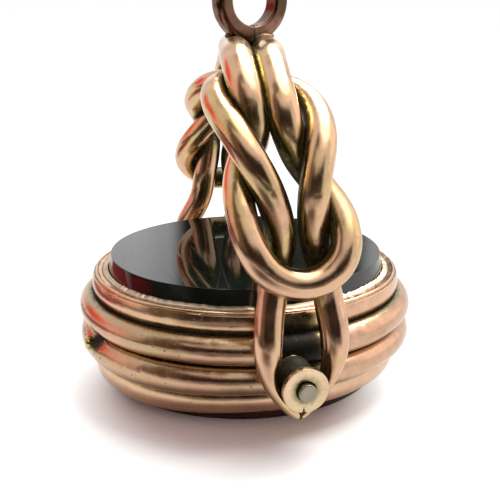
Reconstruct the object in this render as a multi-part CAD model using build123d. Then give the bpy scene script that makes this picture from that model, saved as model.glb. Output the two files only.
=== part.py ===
from build123d import *
import math
import os

# Sizes are in millimetres. X runs along the pivot, Y along the oval, Z is up.
# The fob lies on its lower stone, and the pieces are shaped with the pivot axis at height zero.

# Oval band of the spinner, measured over its outer wall. Its tighter arcs, at the ends of its
# longer way, have a radius that is a share of its shorter half.
BAND_HALF_LENGTH = 12.7
BAND_HALF_WIDTH = 11.42
BAND_WALL = 0.7
END_RADIUS_SHARE = 0.937
LONG_HALF = max(BAND_HALF_LENGTH, BAND_HALF_WIDTH)
SHORT_HALF = min(BAND_HALF_LENGTH, BAND_HALF_WIDTH)
LONG_WAY = 90 if BAND_HALF_WIDTH > BAND_HALF_LENGTH else 0

# Half-round wires soldered round the band, which is as tall as the two and their partings,
# and the rim above and below them
RIDGE_RADIUS = 1.13
RIDGE_LAND = 0.09
RIDGE_PARTING = 0.04
RIDGE_CREST = RIDGE_LAND + RIDGE_RADIUS
BAND_HALF_HEIGHT = 2 * RIDGE_RADIUS + RIDGE_PARTING
RIM_HEIGHT = 1.68
RIM_BULGE = 0.19
RIM_LIP_INSET = 0.13
RIM_DISH = 0.12

# Pivot pins, headed inside the band, and the collars on them, which stand past the ridges
PIN_RADIUS = 0.65
PIN_PROUD = 0.44
PIN_END_CHAMFER = 0.08
PIN_HEAD_RADIUS = 1.25
PIN_HEAD_THICKNESS = 0.5
PIN_HEAD_GAP = 0.07
PIN_HEAD_ROOM = 0.05
COLLAR_RADIUS = 1.25
COLLAR_PROUD = 0.31
COLLAR_END = BAND_HALF_WIDTH + RIDGE_CREST + COLLAR_PROUD

# Bearers just clear of the pins' heads, the stones that lie on them and the strips round these
BEARER_WIDTH = 1.0
BEARER_HEIGHT = 0.7
BEARER_TOP = PIN_HEAD_RADIUS + PIN_HEAD_ROOM + BEARER_HEIGHT
STONE_PROUD = 1.29
STONE_FACE_HEIGHT = BAND_HALF_HEIGHT + RIM_HEIGHT + STONE_PROUD
STONE_SLOPE_INSET = 0.3
STONE_SLOPE_HEIGHT = 1.55
STONE_GAP = 0.02
BEZEL_THICKNESS = 0.43
BEZEL_TOP_DROP = 0.2
BEZEL_LEAN = 0.1

# Rivet beside the middle groove at one end of the oval
RIVET_RADIUS = 0.45
RIVET_PROUD = 1.1
RIVET_GRIP = 0.9
RIVET_ALONG = 2.6
RIVET_DROP = 0.75
RIVET_DOME = 0.12

# Bush and washer, which turn on the pin; the bush runs past the arm's wires at both ends
BUSH_RADIUS = 1.3
BUSH_END_PLAY = 0.05
BUSH_INNER_PROUD = 0.3
BUSH_OUTER_PROUD = 0.25
PIN_CLEARANCE = 0.05
WASHER_RADIUS = 1.65
WASHER_THICKNESS = 0.5
WASHER_BORE_CHAMFER = 0.14
WASHER_EDGE_CHAMFER = 0.08

# Yoke: its wire, the arch that its wires follow clear of the turning case, and the knots in them,
# whose width is a share of the wire's radius
WIRE_RADIUS = 1.0
WIRE_GAP = 0.1
ARCH_HEADROOM = 7.43
ARCH_POWER = 2.7
KNOT_WIDTH_SHARE = 10
BUSH_START = COLLAR_END + BUSH_END_PLAY
ARCH_REACH = BUSH_START + BUSH_INNER_PROUD + WIRE_RADIUS
BUSH_END = ARCH_REACH + WIRE_RADIUS + BUSH_OUTER_PROUD
PIN_END = BUSH_END + WASHER_THICKNESS + PIN_PROUD
ARCH_RISE = BAND_HALF_LENGTH + RIDGE_CREST + ARCH_HEADROOM
KNOT_WIDTH = WIRE_RADIUS * KNOT_WIDTH_SHARE
LAYER_STEP = WIRE_RADIUS + WIRE_GAP / 2
BEND_SHARE = 0.45

# Eye of each knot wire, round the bush; its height is a share of its half width
EYE_ROOM = 0.2
EYE_HALF_WIDTH = BUSH_RADIUS + EYE_ROOM + WIRE_RADIUS
EYE_HEIGHT_SHARE = 1.6
EYE_HEIGHT = EYE_HALF_WIDTH * EYE_HEIGHT_SHARE
SEAM_WIDTH = 0.06
EYE_SOLDER_THICKNESS = 1.1

# Ring for the chain, and the solder that holds it in the cleft between the arch's two wires
RING_BORE_RADIUS = 2.0
RING_WALL = 1.02
RING_OUTER_RADIUS = RING_BORE_RADIUS + RING_WALL
RING_THICKNESS = 1.3
RING_EDGE_RADIUS = 0.35
RING_BORE_EDGE_RADIUS = 0.1
RING_CLEARANCE = 0.08
RING_TURN = 16
SADDLE_HALF_WIDTH = 1.95
SADDLE_HALF_THICKNESS = 0.95
SADDLE_DEPTH = 0.35
SADDLE_HEIGHT = 1.85
SADDLE_TAPER_SHARE = 0.8

# Cuts run this far past what they cut
OVERRUN = 1.0

# Route of the long yoke wire on the +X arm: degrees up the arch, share of KNOT_WIDTH across,
# share of LAYER_STEP out of the arch's surface. The -X arm is the same, turned half round.
YOKE_WIRE_SHARES = [
    (84.0, -0.160, 0.10),
    (76.5, -0.210, 0.70),
    (68.5, -0.245, 1.00),
    (61.0, -0.260, 1.00),
    (55.0, -0.252, 0.65),
    (50.0, -0.240, 0.00),
    (46.0, -0.256, -0.70),
    (41.5, -0.308, -1.00),
    (36.5, -0.368, -0.95),
    (31.5, -0.400, -0.45),
    (27.0, -0.398, 0.00),
    (23.3, -0.374, 0.40),
    (20.0, -0.322, 0.85),
    (17.0, -0.242, 1.00),
    (14.8, -0.130, 1.00),
    (13.6, -0.010, 1.00),
    (13.7, 0.095, 1.00),
    (15.0, 0.195, 1.00),
    (17.0, 0.265, 1.00),
    (19.8, 0.305, 0.80),
    (23.0, 0.315, 0.30),
    (26.5, 0.298, -0.30),
    (30.8, 0.235, -0.85),
    (35.4, 0.145, -1.00),
    (40.0, 0.060, -0.90),
    (44.2, 0.000, -0.15),
    (48.5, -0.038, 0.50),
    (54.0, -0.048, 1.00),
    (61.0, -0.040, 1.00),
    (69.0, 0.000, 1.00),
    (76.5, 0.060, 0.60),
    (84.0, 0.115, 0.10),
]

# Route of the +X knot wire above its eye, in the same shares
KNOT_WIRE_SHARES = [
    (5.5, -0.220, -0.30),
    (9.9, -0.182, -0.95),
    (14.3, -0.142, -1.00),
    (19.1, -0.110, -0.95),
    (23.7, -0.122, -0.40),
    (28.0, -0.168, 0.20),
    (32.2, -0.234, 0.80),
    (36.5, -0.298, 1.00),
    (41.0, -0.360, 1.00),
    (46.0, -0.420, 0.80),
    (52.0, -0.456, 0.20),
    (59.5, -0.462, -0.45),
    (66.5, -0.425, -0.85),
    (71.0, -0.345, -1.10),
    (72.5, -0.245, -1.20),
    (72.0, -0.140, -1.20),
    (70.5, -0.035, -1.15),
    (68.0, 0.065, -1.05),
    (64.0, 0.150, -0.80),
    (57.5, 0.205, -0.30),
    (50.7, 0.220, 0.20),
    (44.6, 0.200, 0.75),
    (39.7, 0.155, 1.00),
    (35.0, 0.115, 1.00),
    (31.0, 0.088, 0.85),
    (27.0, 0.084, 0.40),
    (22.8, 0.106, -0.35),
    (18.1, 0.152, -0.95),
    (13.5, 0.200, -1.00),
    (9.0, 0.242, -0.95),
    (5.5, 0.260, -0.30),
]

# Legs of the eye from the knot wire's ends down to the seam under the bush: share of EYE_HEIGHT,
# share of EYE_HALF_WIDTH, and shares of WIRE_RADIUS for the half width and the half depth
LEFT_LEG_SHARES = [
    (0.60, -0.91, 0.96, 0.97),
    (0.30, -0.90, 0.80, 0.92),
    (0.02, -0.84, 0.56, 0.86),
    (-0.27, -0.60, 0.45, 0.80),
    (-0.50, -0.22, 0.42, 0.78),
    (-0.62, 0.06, 0.42, 0.78),
]
RIGHT_LEG_SHARES = [
    (0.60, 1.05, 0.96, 0.97),
    (0.30, 1.02, 0.80, 0.92),
    (0.02, 0.90, 0.56, 0.86),
    (-0.27, 0.62, 0.45, 0.80),
    (-0.50, 0.22, 0.42, 0.78),
    (-0.62, -0.06, 0.42, 0.78),
]

# Corners of the solder under the bush, right half: shares of BUSH_RADIUS across and down
EYE_SOLDER_SHARES = [(0.58, 0.62), (0.50, 0.88), (0.20, 1.30)]


def oval(offset=0.0, height=0.0):
    """Closed outline of four arcs, its longer way along Y, offset outward from the band's outer wall.
    The two flatter sides have the radius that runs smoothly into the ends."""
    end = SHORT_HALF * END_RADIUS_SHARE
    end_shift = LONG_HALF - end
    side = (SHORT_HALF**2 + end_shift**2 - end**2) / (2 * (SHORT_HALF - end))
    side_shift = side - SHORT_HALF
    turn = math.degrees(math.atan2(end_shift, side_shift))
    arcs = [
        CenterArc((-side_shift, 0), side + offset, 0, turn),
        CenterArc((0, end_shift), end + offset, turn, 180 - 2 * turn),
        CenterArc((side_shift, 0), side + offset, 180 - turn, 2 * turn),
        CenterArc((0, -end_shift), end + offset, 180 + turn, 180 - 2 * turn),
        CenterArc((-side_shift, 0), side + offset, -turn, turn),
    ]
    return Pos(0, 0, height) * Wire(arcs)


def oval_block(offset, low, high):
    """Upright oval block between two heights."""
    return Rot(0, 0, LONG_WAY) * extrude(make_face(oval(offset, low)), amount=high - low)


def oval_ring(outline):
    """Ring of one section all round the band; the outline is drawn as (outward, up)."""
    plane = Plane(origin=(SHORT_HALF, 0, 0), x_dir=(1, 0, 0), z_dir=(0, -1, 0))
    return Rot(0, 0, LONG_WAY) * sweep(plane * make_face(outline), path=oval())


def outline_of(points, bulge=None):
    """Closed outline through points; bulge is (index, point) of a run that is an arc."""
    runs = []
    for i, start in enumerate(points):
        end = points[(i + 1) % len(points)]
        if bulge and bulge[0] == i:
            runs.append(ThreePointArc(start, bulge[1], end))
        else:
            runs.append(Line(start, end))
    return Wire(runs)


def cylinder_along_x(radius, start, end):
    """Round bar on the pivot axis between two places along X."""
    return extrude(Plane.YZ.offset(start) * Circle(radius), amount=end - start)


def round_edges_within(shape, radius):
    """Circular edges smaller than a radius."""
    return shape.edges().filter_by(GeomType.CIRCLE).filter_by(lambda edge: edge.radius < radius)


def half_turn(shape):
    """The same piece on the other arm."""
    return Rot(0, 0, 180) * shape


def upside_down(shape):
    """The same piece on the other face."""
    return Rot(180, 0, 0) * shape


def case_band():
    """Oval strip that everything on the spinner is soldered to, with a hole for each pin."""
    band = oval_block(0, -BAND_HALF_HEIGHT, BAND_HALF_HEIGHT)
    band -= oval_block(-BAND_WALL, -BAND_HALF_HEIGHT - OVERRUN, BAND_HALF_HEIGHT + OVERRUN)
    band -= cylinder_along_x(PIN_RADIUS, -PIN_END, PIN_END)
    return band - rivet_bar()


def ridge_wire():
    """Upper half-round wire, notched for the two collars."""
    middle = RIDGE_RADIUS + RIDGE_PARTING / 2
    low = middle - RIDGE_RADIUS
    high = middle + RIDGE_RADIUS
    points = [(0, low), (RIDGE_LAND, low), (RIDGE_LAND, high), (0, high)]
    wire = oval_ring(outline_of(points, (1, (RIDGE_LAND + RIDGE_RADIUS, middle))))
    return wire - cylinder_along_x(COLLAR_RADIUS, -PIN_END, PIN_END)


def rim():
    """Upper rounded rim on the band's edge, with its top dished towards the stone."""
    top = BAND_HALF_HEIGHT + RIM_HEIGHT
    middle = BAND_HALF_HEIGHT + RIM_HEIGHT / 2
    outer = [(0, BAND_HALF_HEIGHT), (-RIM_LIP_INSET, top)]
    points = [(-BAND_WALL, BAND_HALF_HEIGHT), *outer, (-BAND_WALL, top - RIM_DISH)]
    return oval_ring(outline_of(points, (1, (RIM_BULGE, middle))))


def bezel():
    """Upper thin strip between rim and stone, leaning in a little at its top."""
    inner = -BAND_WALL - BEZEL_THICKNESS
    top = BAND_HALF_HEIGHT + RIM_HEIGHT - BEZEL_TOP_DROP
    points = [(inner, BEARER_TOP), (-BAND_WALL, BEARER_TOP), (-BAND_WALL, top), (inner, top - BEZEL_LEAN)]
    return oval_ring(outline_of(points))


def bearer():
    """Upper ledge inside the band that the stone lies on."""
    low = BEARER_TOP - BEARER_HEIGHT
    inner = -BAND_WALL - BEARER_WIDTH
    points = [(inner, low), (-BAND_WALL, low), (-BAND_WALL, BEARER_TOP), (inner, BEARER_TOP)]
    return oval_ring(outline_of(points))


def stone():
    """Upper flat oval stone with a sloped edge."""
    offset = -BAND_WALL - BEZEL_THICKNESS - STONE_GAP
    shoulder = STONE_FACE_HEIGHT - STONE_SLOPE_HEIGHT
    foot = make_face(oval(offset, shoulder))
    face = make_face(oval(offset - STONE_SLOPE_INSET, STONE_FACE_HEIGHT))
    slope = Rot(0, 0, LONG_WAY) * loft([foot, face], ruled=True)
    return oval_block(offset, BEARER_TOP, shoulder) + slope


def packing():
    """Cement that fills the band between the two stones, round the pins and the rivet."""
    step = BEARER_TOP - BEARER_HEIGHT
    fill = oval_block(-BAND_WALL, -step, step)
    fill += oval_block(-BAND_WALL - BEARER_WIDTH, -BEARER_TOP, BEARER_TOP)
    for pin in (pivot_pin(), half_turn(pivot_pin())):
        fill -= pin
    return fill - rivet_bar()


def pivot_pin():
    """+X pin, with a head against the inside of the band."""
    seat = BAND_HALF_WIDTH - BAND_WALL - PIN_HEAD_GAP
    shank = cylinder_along_x(PIN_RADIUS, seat, PIN_END)
    shank = chamfer(shank.edges().sort_by(Axis.X)[-1], PIN_END_CHAMFER)
    return shank + cylinder_along_x(PIN_HEAD_RADIUS, seat - PIN_HEAD_THICKNESS, seat)


def pin_collar():
    """+X collar, soldered to the band, that spaces the yoke off it."""
    collar = cylinder_along_x(COLLAR_RADIUS, 0, COLLAR_END) - cylinder_along_x(PIN_RADIUS, 0, COLLAR_END)
    return collar - oval_block(0, -BAND_HALF_HEIGHT, BAND_HALF_HEIGHT)


def rivet_bar():
    """Rivet beside the middle groove, through the band and into the packing."""
    length = RIVET_PROUD + BAND_WALL + RIVET_GRIP
    bar = Cylinder(RIVET_RADIUS, length, align=(Align.CENTER, Align.CENTER, Align.MAX))
    bar = chamfer(bar.edges().sort_by(Axis.Z)[-1], RIVET_DOME)
    return Pos(RIVET_ALONG, -BAND_HALF_LENGTH - RIVET_PROUD, -RIVET_DROP) * Rot(90, 0, 0) * bar


def arch_place(turn, across_share, layer_share):
    """Point on the rounded arch, moved out of its surface by a share of the layer step."""
    angle = math.radians(turn)
    reach_share = math.cos(angle) ** (2 / ARCH_POWER)
    rise_share = math.sin(angle) ** (2 / ARCH_POWER)
    out = Vector(reach_share ** (ARCH_POWER - 1) / ARCH_REACH, 0, rise_share ** (ARCH_POWER - 1) / ARCH_RISE)
    place = Vector(ARCH_REACH * reach_share, KNOT_WIDTH * across_share, ARCH_RISE * rise_share)
    return place + out.normalized() * (LAYER_STEP * layer_share)


def tube(points, radius):
    """Round wire of straight runs joined by tangent arcs."""
    radii = []
    for before, corner, after in zip(points, points[1:], points[2:]):
        back = before - corner
        ahead = after - corner
        half = math.radians(180 - back.get_angle(ahead)) / 2
        radii.append(BEND_SHARE * min(back.length, ahead.length) / math.tan(half))
    path = FilletPolyline(*points, radius=radii)
    wire = sweep(Plane(origin=path @ 0, z_dir=path % 0) * Circle(radius), path=path)
    plain_volume = math.pi * radius**2 * path.length
    print("wire volume over section times length", round(wire.volume / plain_volume, 5))
    return wire


def crown_place():
    """Place on the yoke wire at the top of the arch, between one arm's first point and the other's last."""
    first = arch_place(*YOKE_WIRE_SHARES[0])
    last = arch_place(*YOKE_WIRE_SHARES[-1])
    return (first + Vector(-last.X, -last.Y, last.Z)) / 2


def yoke_wire():
    """One closed wire over the arch and down both arms, ending in a bight in each knot."""
    start = crown_place()
    end = Vector(-start.X, -start.Y, start.Z)
    arm = tube([start] + [arch_place(*row) for row in YOKE_WIRE_SHARES] + [end], WIRE_RADIUS)
    return arm + half_turn(arm)


def eye_leg(end, direction, shares, side):
    """Flattened leg from a knot wire's end to the seam; side is -1 for the leg at -Y."""
    places = [end]
    radii = [(WIRE_RADIUS, WIRE_RADIUS)]
    for up_share, across_share, width_share, depth_share in shares:
        places.append(Vector(ARCH_REACH, EYE_HALF_WIDTH * across_share, EYE_HEIGHT * up_share))
        radii.append((WIRE_RADIUS * depth_share, WIRE_RADIUS * width_share))
    sections = []
    for i, place in enumerate(places):
        if i == 0:
            along = direction
        elif i == len(places) - 1:
            along = place - places[i - 1]
        else:
            along = places[i + 1] - places[i - 1]
        across_leg = along.cross(Vector(1, 0, 0))
        plane = Plane(origin=place, x_dir=across_leg.cross(along), z_dir=along)
        sections.append(plane * Ellipse(*radii[i]))
    leg = loft(sections)
    beyond = Box(2 * EYE_HEIGHT, EYE_HEIGHT, 2 * EYE_HEIGHT, align=(Align.CENTER, Align.MIN, Align.CENTER))
    cut = Pos(ARCH_REACH, -SEAM_WIDTH / 2, 0) * beyond
    if side > 0:
        cut = mirror(cut, Plane.XZ)
    lower = Box(2 * EYE_HEIGHT, 2 * EYE_HEIGHT, EYE_HEIGHT, align=(Align.CENTER, Align.CENTER, Align.MAX))
    return leg - (cut & Pos(ARCH_REACH, 0, 0) * lower)


def knot_wire():
    """+X knot wire: a bight through the knot, and an eye that closes under the bush."""
    points = [arch_place(*row) for row in KNOT_WIRE_SHARES]
    wire = tube(points, WIRE_RADIUS)
    wire += eye_leg(points[0], points[0] - points[1], LEFT_LEG_SHARES, -1)
    wire += eye_leg(points[-1], points[-1] - points[-2], RIGHT_LEG_SHARES, 1)
    return wire


def bush():
    """+X bush that turns on the pin."""
    bore = cylinder_along_x(PIN_RADIUS + PIN_CLEARANCE, BUSH_START, BUSH_END)
    return cylinder_along_x(BUSH_RADIUS, BUSH_START, BUSH_END) - bore


def bush_washer():
    """+X washer on the outer end of the bush, its bore countersunk outward."""
    end = BUSH_END + WASHER_THICKNESS
    bore_radius = PIN_RADIUS + PIN_CLEARANCE
    disc = cylinder_along_x(WASHER_RADIUS, BUSH_END, end)
    disc = chamfer(disc.edges().sort_by(Axis.X)[-1], WASHER_EDGE_CHAMFER)
    disc -= cylinder_along_x(bore_radius, BUSH_END, end)
    bore_edges = round_edges_within(disc, bore_radius + PIN_CLEARANCE)
    return chamfer(bore_edges.sort_by(Axis.X)[-1], WASHER_BORE_CHAMFER)


def eye_solder():
    """+X wedge of solder between the bush and the eye's seam."""
    half = [(BUSH_RADIUS * across, -BUSH_RADIUS * down) for across, down in EYE_SOLDER_SHARES]
    other = [(-across, down) for across, down in reversed(half)]
    face = make_face(Polyline(*half, *other, close=True))
    start = ARCH_REACH - EYE_SOLDER_THICKNESS / 2
    wedge = extrude(Plane.YZ.offset(start) * face, amount=EYE_SOLDER_THICKNESS)
    return wedge - cylinder_along_x(BUSH_RADIUS, start - OVERRUN, start + EYE_SOLDER_THICKNESS + OVERRUN)


def at_ring(shape):
    """Turns a shape made round the X axis to the ring's place, in the cleft between the arch's two wires."""
    crown = crown_place()
    reach = RING_OUTER_RADIUS + RING_CLEARANCE + WIRE_RADIUS
    height = crown.Z + math.sqrt(reach**2 - crown.Y**2)
    return Pos(0, 0, height) * Rot(0, 0, RING_TURN) * shape


def chain_ring():
    """Closed ring for the watch chain, rounded outside and nearly sharp at its bore."""
    half = RING_THICKNESS / 2
    disc = cylinder_along_x(RING_OUTER_RADIUS, -half, half)
    disc = fillet(disc.edges().filter_by(GeomType.CIRCLE), RING_EDGE_RADIUS)
    ring = disc - cylinder_along_x(RING_BORE_RADIUS, -half, half)
    bore_edges = round_edges_within(ring, RING_BORE_RADIUS + RING_BORE_EDGE_RADIUS)
    return at_ring(fillet(bore_edges, RING_BORE_EDGE_RADIUS))


def ring_solder(wires):
    """Saddle of solder between the ring and the two wires under it."""
    low = ARCH_RISE + SADDLE_DEPTH
    base = Pos(0, 0, low) * Rectangle(2 * SADDLE_HALF_THICKNESS, 2 * SADDLE_HALF_WIDTH)
    top = Pos(0, 0, low + SADDLE_HEIGHT) * Rectangle(
        2 * SADDLE_HALF_THICKNESS * SADDLE_TAPER_SHARE, 2 * SADDLE_HALF_WIDTH * SADDLE_TAPER_SHARE
    )
    saddle = loft([base, top], ruled=True)
    disc = cylinder_along_x(RING_OUTER_RADIUS, -RING_OUTER_RADIUS, RING_OUTER_RADIUS)
    return saddle - at_ring(disc) - wires


def both_arms(name, shape):
    """A piece on the +X arm, the front one, and the same on the rear one."""
    return {"front_" + name: shape, "rear_" + name: half_turn(shape)}


def both_faces(name, shape):
    """A piece on the upper face and the same on the lower one."""
    return {"upper_" + name: shape, "lower_" + name: upside_down(shape)}


def main():
    wires = yoke_wire()
    pieces = {"case_band": case_band(), "packing": packing(), "side_rivet": rivet_bar()}
    pieces |= both_faces("ridge_wire", ridge_wire())
    pieces |= both_faces("rim", rim())
    pieces |= both_faces("bezel", bezel())
    pieces |= both_faces("bearer", bearer())
    for name in ("lower_ridge_wire", "lower_bearer"):
        pieces[name] -= rivet_bar()
    pieces |= both_faces("stone", stone())
    pieces |= both_arms("pivot_pin", pivot_pin())
    pieces |= both_arms("pin_collar", pin_collar())
    pieces |= {"yoke_wire": wires, "chain_ring": chain_ring(), "ring_solder": ring_solder(wires)}
    pieces |= both_arms("knot_wire", knot_wire())
    pieces |= both_arms("bush", bush())
    pieces |= both_arms("bush_washer", bush_washer())
    pieces |= both_arms("eye_solder", eye_solder())
    os.makedirs("parts", exist_ok=True)
    for name, shape in pieces.items():
        export_step(Pos(0, 0, STONE_FACE_HEIGHT) * shape, f"parts/{name}.step")


main()
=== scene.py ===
import bpy
import math
import numpy as np
from numpy.linalg import norm
from mathutils import Matrix, Vector


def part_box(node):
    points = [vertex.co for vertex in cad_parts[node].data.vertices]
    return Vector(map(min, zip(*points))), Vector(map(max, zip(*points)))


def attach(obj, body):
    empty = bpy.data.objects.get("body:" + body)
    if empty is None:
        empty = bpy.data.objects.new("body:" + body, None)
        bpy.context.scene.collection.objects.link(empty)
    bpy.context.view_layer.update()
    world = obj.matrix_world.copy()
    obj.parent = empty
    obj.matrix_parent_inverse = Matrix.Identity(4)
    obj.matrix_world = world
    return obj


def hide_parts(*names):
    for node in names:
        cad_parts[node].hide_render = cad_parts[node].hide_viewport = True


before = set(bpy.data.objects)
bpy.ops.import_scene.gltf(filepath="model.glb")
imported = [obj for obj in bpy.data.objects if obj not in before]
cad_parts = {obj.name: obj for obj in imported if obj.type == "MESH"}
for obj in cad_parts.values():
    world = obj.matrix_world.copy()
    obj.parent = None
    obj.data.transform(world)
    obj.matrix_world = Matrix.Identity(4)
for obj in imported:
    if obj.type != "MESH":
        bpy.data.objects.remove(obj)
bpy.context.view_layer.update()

# Case band
# The oval strip that the whole spinner is soldered to, rolled from rose gold and joined at one side.
# Only its bare wall in the grooves between the wires can be seen, dark with old polish and dirt.

MM = 0.001
PIVOT_HEIGHT = 5.27 * MM
ROSE_GOLD = (0.65, 0.385, 0.25, 1)
TIRED_GOLD = (0.48, 0.385, 0.155, 1)
# The dark dirt colour and the dull skin below darken the metal along the crevice mark, as dirt and as painted
# shade alike
OLD_DIRT_AND_SHADE = (0.014, 0.013, 0.009, 1)
REDDISH_SMUDGE = (0.42, 0.215, 0.14, 1)
DULL_SKIN_AND_SHADE = (0.05, 0.042, 0.022, 1)


def add(tree, kind, feeds=None, **settings):
    """Adds a node; feeds gives each socket a value, or the output that runs into it."""
    made = tree.nodes.new("ShaderNode" + kind)
    for key, value in settings.items():
        setattr(made, key, value)
    for socket, value in (feeds or {}).items():
        if isinstance(value, bpy.types.NodeSocket):
            tree.links.new(value, made.inputs[socket])
        else:
            made.inputs[socket].default_value = value
    return made


def sum_of(tree, kind, first, second):
    """Output of a math node on two values or outputs."""
    return add(tree, "Math", {0: first, 1: second}, operation=kind).outputs[0]


def times(tree, first, second):
    """Product of two values or outputs."""
    return sum_of(tree, "MULTIPLY", first, second)


def plus(tree, first, second):
    """Sum of two values or outputs."""
    return sum_of(tree, "ADD", first, second)


def larger(tree, first, second):
    """The larger of two values or outputs."""
    return sum_of(tree, "MAXIMUM", first, second)


def rise(tree, value, low, high):
    """Smooth step from 0 at low to 1 at high, or down where low is above high."""
    feeds = {"Value": value, "From Min": low, "From Max": high}
    return add(tree, "MapRange", feeds, interpolation_type="SMOOTHSTEP").outputs["Result"]


def tint(tree, amount, under, over, blend="MIX"):
    """Colour under, with over laid on it by an amount."""
    made = add(tree, "Mix", {0: amount, 6: under, 7: over}, data_type="RGBA", blend_type=blend)
    return made.outputs[2]


def grain(tree, place, scale, detail=2.0, roughness=0.5):
    """Value of a noise texture, in features per metre."""
    feeds = {"Vector": place, "Scale": scale, "Detail": detail, "Roughness": roughness}
    return add(tree, "TexNoise", feeds).outputs["Fac"]


def group_of(name, inputs, outputs):
    """Empty shader node group; the sockets that it is given, and those that it puts out."""
    tree = bpy.data.node_groups.new(name, "ShaderNodeTree")
    for socket, kind in inputs:
        tree.interface.new_socket(socket, in_out="INPUT", socket_type="NodeSocket" + kind)
    for socket, kind in outputs:
        tree.interface.new_socket(socket, in_out="OUTPUT", socket_type="NodeSocket" + kind)
    return tree, tree.nodes.new("NodeGroupInput").outputs, tree.nodes.new("NodeGroupOutput").inputs


def worn_metal_group():
    """Colour, metal, roughness and height of a handled, worn precious metal. Tone drifts over millimetres,
    drawing streaks run along the piece, and pits and grime gather by the crevice mark. That mark also carries
    painted shade, so the darkening along it is partly grime and partly painted shade."""
    tree, given, put = group_of(
        "worn metal",
        [("Place", "Vector"), ("Run", "Vector"), ("Clean", "Color"), ("Tired", "Color"), ("Dirt and Shade", "Color"),
         ("Crevice", "Float"), ("Drift", "Float"), ("Pitting", "Float"), ("Dullness", "Float")],
        [("Color", "Color"), ("Metal", "Float"), ("Roughness", "Float"), ("Height", "Float")],
    )
    place = given["Place"]
    crevice = given["Crevice"]
    broad = grain(tree, place, 190, 3)
    patch = grain(tree, place, 900, 4, 0.6)
    fine = grain(tree, place, 6500, 4, 0.65)
    bent = add(tree, "TexNoise", {"Vector": place, "Scale": 5000, "Detail": 1}).outputs["Color"]
    bent = add(tree, "VectorMath", {0: bent, 3: 0.00022}, operation="SCALE").outputs["Vector"]
    bent = add(tree, "VectorMath", {0: place, 1: bent}, operation="ADD").outputs["Vector"]
    long_way = add(tree, "Mapping", {"Vector": given["Run"], "Scale": (260, 14000, 1)})
    streak = grain(tree, long_way.outputs[0], 1, 3, 0.6)
    cells = add(tree, "TexVoronoi", {"Vector": bent, "Scale": 3600}, feature="F1")
    chance = add(tree, "SeparateColor", {0: cells.outputs["Color"]}).outputs[0]
    scarce = times(tree, rise(tree, chance, 0.74, 0.92), rise(tree, broad, 0.38, 0.62))
    pit = times(tree, rise(tree, cells.outputs["Distance"], 0.34, 0.10), scarce)
    pit = times(tree, pit, given["Pitting"])
    drift = times(tree, rise(tree, broad, 0.40, 0.66), given["Drift"])
    near = larger(tree, drift, rise(tree, crevice, 0.10, 0.55))
    metal = tint(tree, near, given["Clean"], given["Tired"])
    smudge = times(tree, rise(tree, grain(tree, place, 330, 4, 0.62), 0.50, 0.70), given["Drift"])
    metal = tint(tree, times(tree, smudge, 0.75), metal, REDDISH_SMUDGE)
    shade = add(tree, "MapRange", {"Value": patch, "To Min": 0.74, "To Max": 1.20}).outputs["Result"]
    shade_colour = add(tree, "CombineColor", {0: shade, 1: shade, 2: shade}).outputs[0]
    metal = tint(tree, 1.0, metal, shade_colour, "MULTIPLY")
    specks = times(tree, sum_of(tree, "SUBTRACT", grain(tree, place, 3000, 3, 0.6), 0.5), 0.5)
    ragged = plus(tree, crevice, times(tree, sum_of(tree, "SUBTRACT", patch, 0.5), 0.45))
    ragged = plus(tree, ragged, specks)
    # Darkening along the crevice mark: part grime, part painted shade
    metal = tint(tree, times(tree, rise(tree, ragged, 0.22, 0.75), 0.62), metal, DULL_SKIN_AND_SHADE)
    dirt_and_shade = times(tree, rise(tree, ragged, 0.50, 0.98), 0.97)
    dirt_and_shade = larger(tree, dirt_and_shade, times(tree, pit, 0.55))
    tree.links.new(tint(tree, dirt_and_shade, metal, given["Dirt and Shade"]), put["Color"])
    tree.links.new(sum_of(tree, "SUBTRACT", 1, times(tree, dirt_and_shade, 0.90)), put["Metal"])
    feeds = {"Value": patch, "From Min": 0.3, "From Max": 0.7, "To Min": 0.11, "To Max": 0.21}
    polish = add(tree, "MapRange", feeds).outputs["Result"]
    dull = plus(tree, polish, times(tree, streak, 0.10))
    dull = plus(tree, dull, times(tree, dirt_and_shade, 0.40))
    tree.links.new(plus(tree, dull, given["Dullness"]), put["Roughness"])
    crust = times(tree, dirt_and_shade, plus(tree, specks, patch))
    height = times(tree, streak, 0.35)
    for part, share in ((fine, 0.22), (patch, 0.9), (crust, 2.5), (pit, -1.6)):
        height = plus(tree, height, times(tree, part, share))
    tree.links.new(height, put["Height"])
    return tree


WORN_METAL = worn_metal_group()


def blank_material(name):
    """A new material with its tree, its shader, and the place on the piece."""
    made = bpy.data.materials.new(name)
    made.use_nodes = True
    tree = made.node_tree
    return made, tree, tree.nodes["Principled BSDF"], add(tree, "TexCoord").outputs["Object"]


def dress(tree, shader, colour, roughness, height, lift):
    """Runs a colour, a roughness, and a height that lifts the surface into a shader."""
    bump = add(tree, "Bump", {"Height": height, "Distance": lift}).outputs["Normal"]
    for socket, value in (("Base Color", colour), ("Roughness", roughness), ("Normal", bump)):
        tree.links.new(value, shader.inputs[socket])


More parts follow.
